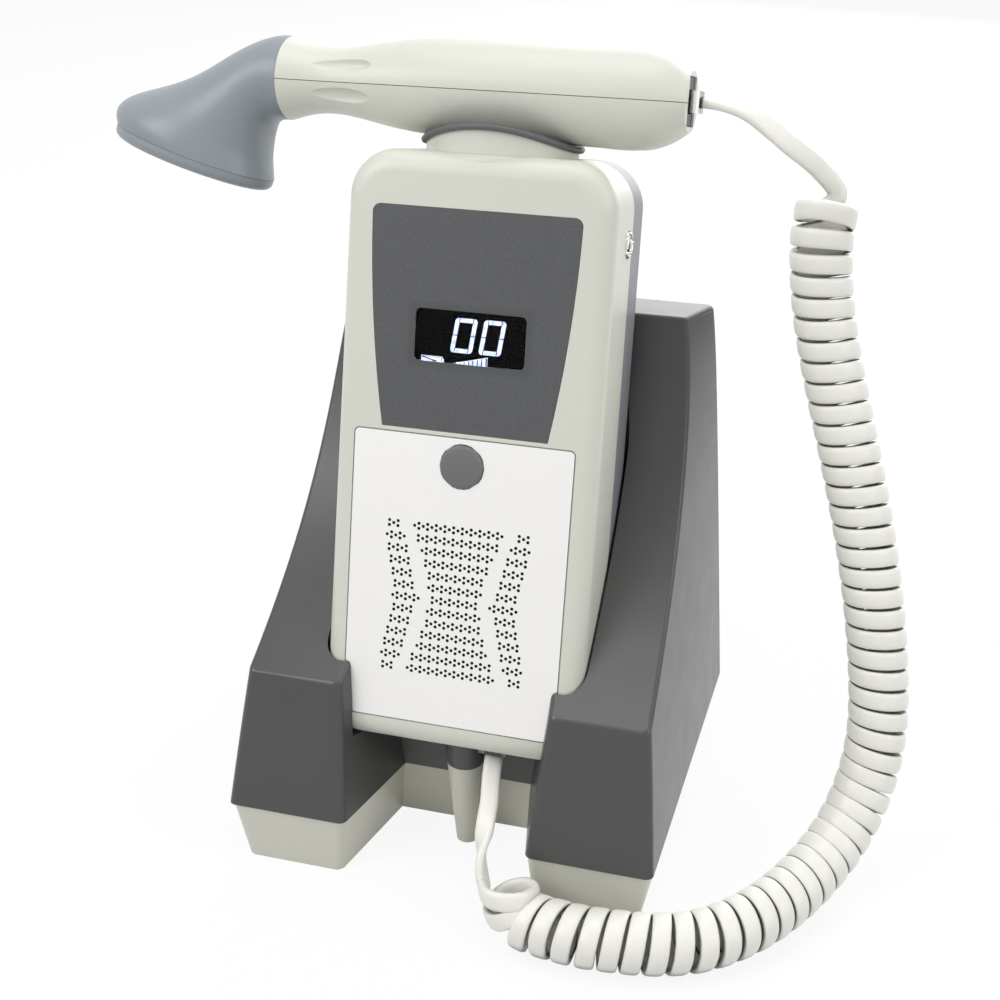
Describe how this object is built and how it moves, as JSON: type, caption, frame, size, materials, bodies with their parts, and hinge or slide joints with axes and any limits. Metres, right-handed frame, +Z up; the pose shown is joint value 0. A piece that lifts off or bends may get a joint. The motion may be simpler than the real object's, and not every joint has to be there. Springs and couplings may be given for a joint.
{
  "type": "vascular doppler",
  "caption": "Handheld vascular doppler console leaning in its charging stand, probe resting across the saddle on top and tied to the console by a coiled cord.",
  "frame": {"origin": "middle of the stand's footprint, on the surface it stands on", "axes": "+Z up, the display faces -Y (leaning back 13.2 degrees), +X to the viewer's right; the probe lies along X"},
  "size_m": [0.2786, 0.1582, 0.2632],
  "materials": {
    "stand_dark": "satin moulded",
    "stand_base_grey": "satin moulded",
    "foot_rubber": "matt",
    "zinc_steel": "zinc plated",
    "board_green": "solder mask",
    "contact_holder": "moulded",
    "gold_contact": "gold plated",
    "front_cream": "fine satin",
    "rear_grey": "fine satin",
    "overlay_grey": "fine textured film",
    "lens_clear": "polished, dark tinted",
    "display_glass": "glossy",
    "plate_satin": "satin, clear anodised",
    "speaker_steel": "plated",
    "nut_metal": "plated",
    "plug_clear": "clear polished",
    "cell_sleeve": "shrink sleeve",
    "rim_rubber": "matt",
    "button_grey": "satin",
    "head_grey": "matt",
    "crystal": "fired ceramic",
    "tail_dark": "satin",
    "cord_jacket": "soft vinyl"
  },
  "bodies": {
    "stand": {"stand_upper_shell": "stand_dark", "stand_base": "stand_base_grey", "stand_feet": "foot_rubber", "stand_screws": "zinc_steel", "charger_board": "board_green", "contact_block": "contact_holder", "charge_contacts": "gold_contact", "dc_inlet": "contact_holder"},
    "console": {"front_shell": "front_cream", "rear_shell": "rear_grey", "shell_screws": "zinc_steel", "graphic_overlay": "overlay_grey", "display_lens": "lens_clear", "lcd_module": "display_glass", "grille_plate": "plate_satin", "speaker": "speaker_steel", "main_board": "board_green", "board_screws": "zinc_steel", "button_switch": "contact_holder", "headphone_jack": "contact_holder", "headphone_nut": "nut_metal", "cord_socket": "contact_holder", "unit_plug": "plug_clear", "battery_pack": "cell_sleeve", "battery_tray": "rear_grey", "battery_cover": "rear_grey", "charge_pads": "gold_contact", "saddle_post": "front_cream", "saddle_rim": "rim_rubber", "cord_probe_run": "cord_jacket", "cord_coil": "cord_jacket", "cord_unit_run": "cord_jacket"},
    "button": {"power_button": "button_grey"},
    "probe": {"probe_handle_upper": "front_cream", "probe_handle_lower": "front_cream", "probe_head": "head_grey", "probe_face": "head_grey", "piezo_crystals": "crystal", "probe_board": "board_green", "probe_socket": "contact_holder", "probe_tail_insert": "tail_dark", "probe_plug": "plug_clear"}
  },
  "joints": [
    {"name": "console_lift", "type": "slide", "parent": "stand", "child": "console", "axis": [0, 0.2284, 0.9736], "range_m": [0, 0.06]},
    {"name": "button_press", "type": "slide", "parent": "console", "child": "button", "axis": [0, 0.9736, -0.2284], "range_m": [0, 0.0008], "stiffness_N_per_m": 900},
    {"name": "probe_lift", "type": "slide", "parent": "console", "child": "probe", "axis": [0, 0.2284, 0.9736], "range_m": [0, 0.04]}
  ]
}
